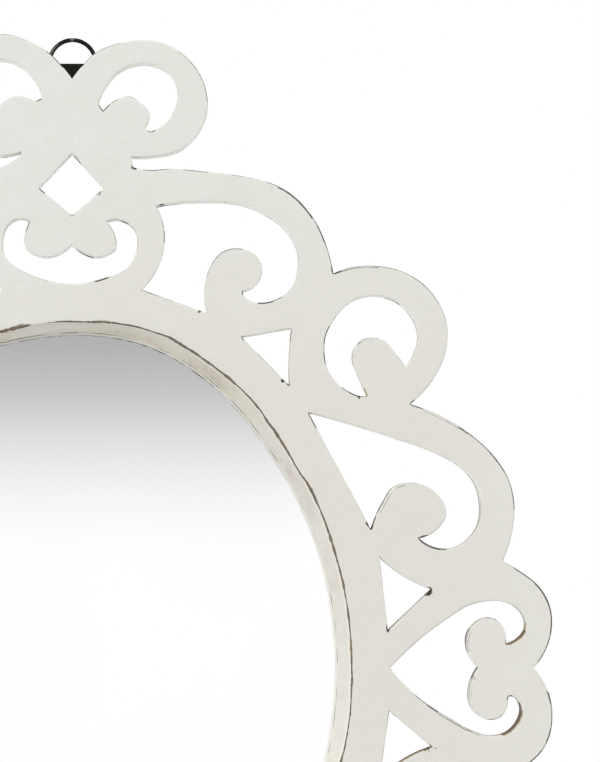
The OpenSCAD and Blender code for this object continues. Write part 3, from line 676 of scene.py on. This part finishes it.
def build_board():
    cad = nodes["fretwork_frame"]
    fronts = sorted(flat_loops(cad, FRONT), key=spread_of)
    cuts = [loop for loop in fronts if spread_of(loop) < CUT_SPREAD] + [fronts[-1]]
    backs = sorted(flat_loops(cad, BACK), key=spread_of)
    bores = [loop for loop in backs if spread_of(loop) < BORE_SPREAD]
    shell = Shell("dirt", "bare", "worn", "core", "light", "back", "wall", "bevel", "stain", "cream",
                  "nick", "tone_with_painted_light")
    chance = np.random.default_rng(3)
    lines, bare_walls, nicks = mirrored(EDGE_LINES, 2), mirrored(BARE_WALLS, 1), mirrored(NICKS, 1)
    marks = join([
        a + (b - a) * t for _, path, _ in lines + bare_walls + nicks
        for a, b in zip(path, path[1:]) for t in [np.linspace(0, 1, 12)[:, None]]])
    rings, front_rows, back_rows, dense = [], [], [], []
    for loop in cuts:
        flat, gap = smoothed(loop, marks)
        flat = clamped(flat)
        rings.append(flat)
        dense += [flat, (flat + np.roll(flat, -1, axis=0)) / 2]
        rows = sawn_rows(shell, flat, gap, lines, bare_walls, nicks, chance.integers(1e6))
        front_rows.append(rows[0])
        back_rows.append(rows[-1])
    dense = join(dense)
    rows, outer = opening_rows(shell, chance)
    free = shell.add(face_points(rings, dense, outer), FRONT)
    sunk = nick_points(nicks)
    far = nearest(sunk[:, :2], dense) > 0.85
    sunk = sunk[far & inside(sunk[:, :2], rings)]
    nick = shell.add(sunk[:, :2], FRONT + 0.5 * sunk[:, 2], nick=sunk[:, 2])
    shell.sheet([*front_rows, rows[0]], join([free, nick]))

    # the back, with the bores of its screws
    holes = []
    for loop in bores:
        top = shell.add(loop, BACK, back=1.0)
        end = shell.add(loop, BACK - BORE_DEEP, back=1.0)
        shell.bands([top[::-1], end[::-1]])
        shell.faces.append(end.tolist())
        holes.append(top)
    shell.sheet([*back_rows, rows[-1], *holes], np.zeros(0), turned=True)
    # painted light: the paint is whiter towards the ends, the sides and the left, as if more light fell
    # there, and creamier round the glass
    x, _, z = join(shell.points).T
    painted_light_gradient = np.maximum(rise(np.abs(z), 120, 220), 0.5 * rise(np.abs(x), 215, 60))
    painted_light_gradient += 0.3 * rise(-x, -15, 50)
    shell.values["tone_with_painted_light"] = [1 - painted_light_gradient]
    return shell.object("board")


board = build_board()
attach(board, "frame")
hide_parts("fretwork_frame")


# The other pieces

def taken(node, name, edge):
    """A piece made from a CAD node's own shape, with its sharp edges softened."""
    made = bmesh.new()
    made.from_mesh(nodes[node].data)
    bmesh.ops.remove_doubles(made, verts=made.verts, dist=2e-6)
    bmesh.ops.dissolve_limit(made, angle_limit=math.radians(0.6), verts=made.verts, edges=made.edges)
    sharp = [e for e in made.edges
             if len(e.link_faces) == 2 and e.calc_face_angle(0) > math.radians(38)]
    bmesh.ops.bevel(made, geom=sharp, offset=edge * MM, segments=2, profile=0.6, affect="EDGES",
                    clamp_overlap=True)
    mesh = bpy.data.meshes.new(name)
    made.to_mesh(mesh)
    made.free()
    rounded(mesh)
    piece = placed(name, mesh)
    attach(piece, "frame")
    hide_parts(node)
    return piece


def build_glass():
    """The silvered glass, with values for the painted shadow line where it meets the lip."""
    gap = around(GAP_SHADOW, DEGREES)
    shell = Shell("gap")
    ring = shell.ring
    back = LIP + GLASS_DEEP
    # its edges are taken off by 0.3 mm
    rows = [
        ring(TO_GLASS_EDGE - 0.29, back), ring(TO_GLASS_EDGE, back - 0.3),
        ring(TO_GLASS_EDGE, LIP + 0.3), ring(TO_GLASS_EDGE - 0.29, LIP),
        ring(EDGE, LIP, gap=gap), ring(EDGE - 0.45, LIP, gap=gap),
        ring(EDGE - 0.95, LIP, gap=gap * 0.25), ring(EDGE - 1.5, LIP), ring(-12, LIP), ring(-60, LIP),
    ]
    shell.bands(rows, turned=True)
    shell.faces.append(rows[-1].tolist())
    shell.faces.append(rows[0][::-1].tolist())
    return shell.object("glass_plate")


def build_ring():
    """The D-ring: round wire, butted together at the top, where the joint shows as a fine groove."""
    lo, hi = (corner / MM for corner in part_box("hanger_ring"))
    wire = (hi.y - lo.y) / 2 - 0.003
    bend = 3.0
    ring_r = (hi.x - lo.x) / 2 - wire
    bar_y = (lo.y + hi.y) / 2
    bar_z = hi.z - wire - ring_r - bend
    bar = ring_r - bend
    sides = 24
    path = [(x, 0, 1, 0) for x in np.linspace(-bar, bar, 12)[:-1]]

    def arc(middle, radius, turns):
        for a in turns:
            c, s = math.cos(math.radians(a)), math.sin(math.radians(a))
            path.append((middle + radius * c, bend + radius * s, -s, c))

    arc(bar, bend, np.linspace(-90, 0, 9)[:-1])
    arc(0, ring_r, np.linspace(0, 87, 30))
    arc(0, ring_r, [88.2, 88.9, 89.3, 89.6, 89.8, 90.0, 90.2, 90.4, 90.7, 91.1, 91.8])
    arc(0, ring_r, np.linspace(93, 180, 30))
    arc(-bar, bend, np.linspace(180, 270, 9)[1:-1])
    points, seam, highlight_and_rub = [], [], []
    for x, z, dx, dz in path:
        away = math.degrees(math.atan2(z - bend, x)) - 90
        # the wire's ends are a little pinched beside the groove between them
        groove, pinch = (size * math.exp(-(away / width) ** 2) if z > bend else 0
                         for size, width in ((0.34, 0.42), (0.05, 3.5)))
        r = wire - groove - pinch
        for k in range(sides):
            t = 2 * math.pi * k / sides
            n = (-dz * math.cos(t), math.sin(t), dx * math.cos(t))
            points.append(((x + n[0] * r) * MM, (bar_y + n[1] * r) * MM, (bar_z + z + n[2] * r) * MM))
            seam.append(min(1.0, groove / 0.2))
            side = math.degrees(math.atan2(n[0] * x + n[2] * (z - bend), -n[1] * 14)) if z > 0 else 180
            # painted highlight: a grey line along the front of the wire, stronger on the left, and a
            # pale patch beside the joint
            highlight_and_rub.append(math.exp(-((side - 12) / 30) ** 2) * (1.1 if x < -9 else 0.55)
                       + 0.8 * math.exp(-((away - 1.5) / 5) ** 2))
    ids = np.arange(len(points)).reshape(-1, sides)
    on = np.roll(ids, -1, axis=0)
    faces = np.stack([ids, np.roll(ids, -1, axis=1), np.roll(on, -1, axis=1), on], 2).reshape(-1, 4)
    mesh = bpy.data.meshes.new("d_ring")
    mesh.from_pydata(points, [], faces.tolist())
    store(mesh, "seam", seam)
    store(mesh, "highlight_and_rub", highlight_and_rub)
    made = bmesh.new()
    made.from_mesh(mesh)
    bmesh.ops.recalc_face_normals(made, faces=made.faces)
    made.to_mesh(mesh)
    made.free()
    mesh.shade_smooth()
    return placed("d_ring", mesh)


glass = build_glass()
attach(glass, "frame")
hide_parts("mirror_glass")
ring = build_ring()
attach(ring, "ring")
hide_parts("hanger_ring")
strap = taken("hanger_strap", "strap", 0.18)
strap_screws = taken("hanger_screws", "strap_screws", 0.12)
back_screws = taken("backing_screws", "back_screws", 0.12)
back = taken("backing_board", "hardboard_back", 0.3)
bumpers = taken("wall_bumpers", "bumpers", 0.8)
card = nodes["packing_sheet"]


# Finishes

def screen(*values):
    """A colour given as on a screen, 0 to 255, in the renderer's own numbers."""
    out = [v / 255 / 12.92 if v / 255 <= 0.04045 else ((v / 255 + 0.055) / 1.055) ** 2.4
           for v in values]
    return (*out, 1.0)


class Graph:
    """The shader nodes of a material or a world in the making."""

    def __init__(self, owner):
        owner.use_nodes = True
        self.tree = owner.node_tree
        self.tree.nodes.clear()

    def node(self, kind, inputs=(), **settings):
        made = self.tree.nodes.new("ShaderNode" + kind)
        for key, value in settings.items():
            setattr(made, key, value)
        for key, value in dict(inputs).items():
            if isinstance(value, bpy.types.NodeSocket):
                self.tree.links.new(value, made.inputs[key])
            else:
                made.inputs[key].default_value = value
        return made

    def math(self, kind, *values):
        return self.node("Math", dict(enumerate(values)), operation=kind).outputs[0]


class Finish(Graph):
    """A material in the making, and its colour so far. Three numbers stand for a screen colour."""

    def __init__(self, name):
        self.material = bpy.data.materials.new(name)
        super().__init__(self.material)
        self.coords = self.node("TexCoord").outputs["Object"]

    def noise(self, scale, detail, rough, seed, squeeze=None):
        at = self.coords
        if squeeze:
            at = self.node("VectorMath", {0: at, 1: squeeze}, operation="MULTIPLY").outputs[0]
        return self.node("TexNoise", {"Vector": at, "W": seed, "Scale": scale, "Detail": detail,
                                      "Roughness": rough}, noise_dimensions="4D").outputs["Fac"]

    def cells(self, scale):
        return self.node("TexVoronoi", {"Vector": self.coords, "Scale": scale})

    def read(self, name):
        return self.node("Attribute", attribute_name=name).outputs["Fac"]

    def unsteady(self, value, noise, amount):
        """The value, moved up and down by the noise."""
        return self.math("MULTIPLY_ADD", self.math("SUBTRACT", noise, 0.5), amount, value)

    def step(self, value, lo, hi, to_lo=0.0, to_hi=1.0):
        return self.node("MapRange", {"Value": value, "From Min": lo, "From Max": hi, "To Min": to_lo,
                                      "To Max": to_hi}, interpolation_type="SMOOTHSTEP").outputs[0]

    def mix(self, share, a, b):
        a, b = (screen(*v) if isinstance(v, tuple) and len(v) == 3 else v for v in (a, b))
        return self.node("Mix", {0: share, 6: a, 7: b}, data_type="RGBA").outputs[2]

    def start(self, share, a, b):
        self.colour = self.mix(share, a, b)

    def over(self, share, colour):
        """Lays a colour over the colour so far."""
        self.colour = self.mix(share, self.colour, colour)

    def surface(self, rough, bump=None, depth=0.0, **more):
        inputs = {"Base Color": self.colour, "Roughness": rough}
        inputs.update({key.replace("_", " "): value for key, value in more.items()})
        if bump is not None:
            inputs["Normal"] = self.node("Bump", {"Height": bump, "Distance": depth}).outputs[0]
        shader = self.node("BsdfPrincipled", inputs)
        self.node("OutputMaterial", {"Surface": shader.outputs[0]})
        return self.material


def put(piece, material):
    piece.data.materials.clear()
    piece.data.materials.append(material)


def painted_wood():
    f = Finish("Distressed white paint")
    # the paint's tone varies at random, and is whiter where painted light is laid over it
    tone_with_painted_light = f.unsteady(f.read("tone_with_painted_light"), f.noise(7, 2, 0.5, 1), 0.6)
    f.start(f.step(tone_with_painted_light, -0.3, 1.0), (236, 237, 232), (229, 227, 219))
    f.over(f.step(f.noise(60, 3, 0.6, 2), 0.3, 0.72, 0, 0.22), (221, 218, 207))
    grain = f.noise(900, 2, 0.6, 3)
    f.over(f.step(grain, 0.25, 0.75, 0, 0.42), (217, 217, 210))
    f.over(f.step(f.noise(760, 2, 0.6, 12), 0.42, 0.75, 0, 0.3), (236, 228, 212))
    # specks: a few cells hold a small spot, pale, tan or dark
    cell = f.cells(190.0)
    kind = f.node("SeparateColor", {0: cell.outputs["Color"]})
    ragged = f.math("MULTIPLY_ADD", f.noise(1300, 2, 0.6, 13), 0.3, cell.outputs["Distance"])
    spot = f.math("MULTIPLY", f.step(ragged, 0.3, 0.16), f.step(kind.outputs[0], 0.8, 0.84))
    tint = f.mix(f.step(kind.outputs[1], 0.45, 0.5), (240, 240, 234), (196, 178, 150))
    tint = f.mix(f.step(kind.outputs[1], 0.86, 0.88), tint, (150, 138, 120))
    f.over(f.math("MULTIPLY", spot, 0.75), tint)
    # the bevel is creamier, with pink and olive stains, which also lay painted shade on parts of it
    f.over(f.read("bevel"), (233, 230, 222))
    f.over(f.math("MULTIPLY", f.read("cream"), 0.5), (238, 230, 200))
    stain = f.read("stain")
    for seed, scale, tint in ((14, 40, (212, 196, 186)), (15, 31, (206, 204, 180)),
                              (16, 130, (204, 192, 178))):
        spread = f.step(f.noise(scale, 3, 0.65, seed), 0.47, 0.75, 0, 0.6)
        f.over(f.math("MULTIPLY", spread, stain), tint)
    # thin grey lines along the edges, in stretches, where the paint has rubbed thin and as painted shade
    jitter = f.noise(420, 3, 0.65, 4)
    stretch = f.step(f.noise(60, 2, 0.5, 11), 0.38, 0.58, 0.6, 1.1)
    rubbed_and_shaded = f.read("dirt")
    stretch = f.math("MAXIMUM", stretch, f.step(rubbed_and_shaded, 0.45, 0.7, 0, 1.1))
    dirt = f.math("MULTIPLY", f.math("MULTIPLY", rubbed_and_shaded, stretch), f.unsteady(1.0, jitter, 1.6))
    # painted light: whiter paint on the side walls that get little light
    f.over(f.read("wall"), (252, 251, 246))
    # painted light: a paler colour where the light values are high, on the bevel and its edges
    f.over(f.math("MINIMUM", f.math("MULTIPLY", f.read("light"), 0.8), 0.9), (248, 245, 232))
    f.over(f.step(dirt, 0.1, 1.0, 0, 0.94), (64, 60, 54))
    # bare wood: brown where it is fresh, greyer where it is soiled, with a dark core
    brown = f.mix(f.step(f.noise(90, 3, 0.6, 5), 0.42, 0.62), (134, 114, 97), (116, 111, 100))
    brown = f.mix(f.step(f.noise(700, 2, 0.6, 6), 0.3, 0.75, 0, 0.5), brown, (164, 149, 130))
    f.over(f.step(f.unsteady(f.read("worn"), jitter, 0.9), 0.3, 0.85), brown)
    f.over(f.step(f.unsteady(f.read("core"), jitter, 1.2), 0.35, 1.1, 0, 0.9), (72, 64, 56))
    bare = f.unsteady(f.read("bare"), f.noise(240, 3, 0.6, 7), 0.8)
    f.over(f.step(bare, 0.15, 0.45), (206, 194, 166))
    f.over(f.step(bare, 0.4, 0.85), (122, 104, 88))
    f.over(f.step(bare, 1.0, 1.4, 0, 0.8), (64, 52, 44))
    f.over(f.step(f.read("nick"), 0.3, 0.8), (56, 48, 38))
    # the back: raw fibreboard with a little overspray
    fibre = f.noise(500, 3, 0.7, 8, (1.0, 1.0, 0.3))
    raw = f.mix(f.step(fibre, 0.3, 0.7), (168, 139, 104), (146, 117, 84))
    raw = f.mix(f.step(f.noise(26, 3, 0.6, 9), 0.56, 0.78, 0, 0.45), raw, (224, 221, 210))
    f.over(f.step(f.read("back"), 0.4, 0.9), raw)
    rough = f.step(f.read("worn"), 0.2, 0.8, 0.58, 0.85)
    height = f.math("MULTIPLY_ADD", f.noise(160, 3, 0.55, 10), 0.6, f.math("MULTIPLY", grain, 0.25))
    return f.surface(rough, height, 0.00012, Specular_IOR_Level=0.3)


def mirror():
    f = Finish("Silvered glass")
    haze = f.noise(12, 2, 0.5, 1)
    f.start(f.step(haze, 0.3, 0.7), (1.0, 1.0, 1.0, 1), (0.99, 0.991, 0.989, 1))
    # painted shadow: a broken dark line on the glass along the lip
    broken_gap_shadow = f.math("MULTIPLY", f.step(f.noise(260, 3, 0.7, 2), 0.3, 0.62, 0.2, 1.5), f.read("gap"))
    f.over(f.step(broken_gap_shadow, 0.1, 1.0, 0, 0.8), (60, 56, 50))
    return f.surface(f.step(haze, 0.2, 0.8, 0.012, 0.02), Metallic=1.0)


def black_steel():
    f = Finish("Black lacquered steel")
    fleck = f.noise(520, 3, 0.65, 1)
    f.start(f.step(fleck, 0.5, 0.8), (22, 20, 18), (44, 41, 36))
    # painted highlight: grey where the rub value is high, along the wire's front and beside the joint
    f.over(f.step(f.unsteady(f.read("highlight_and_rub"), f.noise(300, 3, 0.7, 3), 1.3), 0.45, 1.3), (138, 136, 130))
    f.over(f.read("seam"), (8, 8, 7))
    rough = f.step(fleck, 0.3, 0.8, 0.4, 0.55)
    return f.surface(rough, f.noise(900, 2, 0.5, 2), 0.00002, Specular_IOR_Level=0.12)


def hardboard():
    f = Finish("Hardboard")
    fleck = f.noise(380, 4, 0.7, 1, (1.0, 1.0, 0.45))
    f.start(f.step(fleck, 0.3, 0.7), (134, 100, 68), (108, 77, 50))
    f.over(f.step(f.noise(30, 2, 0.5, 2), 0.4, 0.7, 0, 0.35), (150, 116, 82))
    f.over(f.step(f.cells(420.0).outputs["Distance"], 0.2, 0.08, 0, 0.5), (84, 58, 38))
    return f.surface(f.step(fleck, 0.2, 0.8, 0.5, 0.66), fleck, 0.00006, Specular_IOR_Level=0.35)


def clouded(name, cloud, a, b, rough, bump=None, depth=0.00003, **more):
    """A plain finish of two clouded colours."""
    f = Finish(name)
    cloud = f.noise(*cloud)
    f.start(f.step(cloud, 0.3, 0.7), a, b)
    return f.surface(f.step(cloud, *rough), f.noise(*bump) if bump else cloud, depth, **more)


put(board, painted_wood())
put(glass, mirror())
steel = black_steel()
for piece in (ring, strap, strap_screws):
    put(piece, steel)
put(back_screws, clouded("Dull zinc plate", (700, 3, 0.6, 1), (196, 190, 172), (164, 158, 142),
                         (0.3, 0.7, 0.32, 0.5), (1500, 2, 0.5, 2), 0.00001, Metallic=0.85))
put(back, hardboard())
put(bumpers, clouded("Grey rubber", (500, 2, 0.6, 1), (70, 70, 69), (60, 60, 59),
                     (0.2, 0.8, 0.7, 0.82), (1400, 2, 0.5, 2)))
put(card, clouded("Grey-brown card", (260, 3, 0.6, 1, (1.0, 1.0, 0.5)), (180, 158, 124),
                  (164, 142, 110), (0.2, 0.8, 0.82, 0.9)))


# Room, light and camera

def build_floor():
    mesh = bpy.data.meshes.new("floor")
    below, radius, sides = 0.03, 5.2, 96
    turns = [2 * math.pi * k / sides for k in range(sides)]
    mesh.from_pydata([(radius * math.cos(a), radius * math.sin(a), frame_lo.z - below) for a in turns],
                     [], [list(range(sides))])
    floor = placed("floor", mesh)
    f = Finish("Pale floor")
    f.start(f.noise(3, 2, 0.5, 1), (0.93, 0.93, 0.925, 1), (0.9, 0.9, 0.895, 1))
    put(floor, f.surface(0.9, Specular_IOR_Level=0.0))
    floor.visible_diffuse = False


def build_world():
    world = bpy.data.worlds.new("Studio")
    bpy.context.scene.world = world
    g = Graph(world)

    def shine(colour, strength=1.0):
        return g.node("Background", {"Color": colour, "Strength": strength}).outputs[0]

    def chosen(share, a, b):
        return g.node("MixShader", {0: share, 1: a, 2: b}).outputs[0]

    way = g.node("TexCoord").outputs["Generated"]
    total = None
    for direction, strength in LIGHTS:
        toward = g.node("VectorMath", {0: way, 1: Vector(direction).normalized()},
                        operation="DOT_PRODUCT").outputs["Value"]
        share = g.math("MULTIPLY", g.math("POWER", g.math("MAXIMUM", toward, 0.0), 3.0), strength)
        total = share if total is None else g.math("ADD", total, share)
    # what the glass shows: white at eye level, falling off to the grey of the room above it
    up = g.node("SeparateXYZ", {0: way}).outputs[2]
    top = 0.1
    ramp = g.node("ValToRGB", {0: g.node("MapRange", {"Value": up, "From Min": 0.0,
                                                      "From Max": top}).outputs[0]})
    stops = ramp.color_ramp
    stops.elements[0].color = (1, 1, 1, 1)
    stops.elements[1].color = screen(*[ROOM[0][1]] * 3)
    for height, value in ROOM:
        at = (height - EYE[2]) / (LIP - FRONT - EYE[1])
        stops.elements.new(math.sin(math.atan(at)) / top).color = screen(*[value] * 3)
    path = g.node("LightPath").outputs
    shiny = g.math("MAXIMUM", path["Is Glossy Ray"], path["Is Transmission Ray"])
    seen = chosen(shiny, shine((1, 1, 1, 1), total), shine(ramp.outputs[0]))
    last = chosen(path["Is Camera Ray"], seen, shine((1, 1, 1, 1)))
    g.node("OutputWorld", {"Surface": last})


def build_camera():
    data = bpy.data.cameras.new("camera")
    camera = placed("camera", data)
    bpy.context.scene.camera = camera
    data.sensor_fit = "AUTO"
    data.sensor_width = 36
    data.lens = LENS
    data.shift_x, data.shift_y = SHIFT
    data.clip_end = 100
    yaw, pitch = math.radians(TURN), math.radians(TILT)
    way = Vector((math.sin(yaw) * math.cos(pitch), math.cos(yaw) * math.cos(pitch), math.sin(pitch)))
    camera.rotation_mode = "QUATERNION"
    camera.rotation_quaternion = way.to_track_quat("-Z", "Y")
    camera.location = (EYE[0] * MM, (FRONT + EYE[1]) * MM, MID.z + EYE[2] * MM)


build_floor()
build_world()
build_camera()
scene = bpy.context.scene
scene.view_settings.view_transform = "Standard"
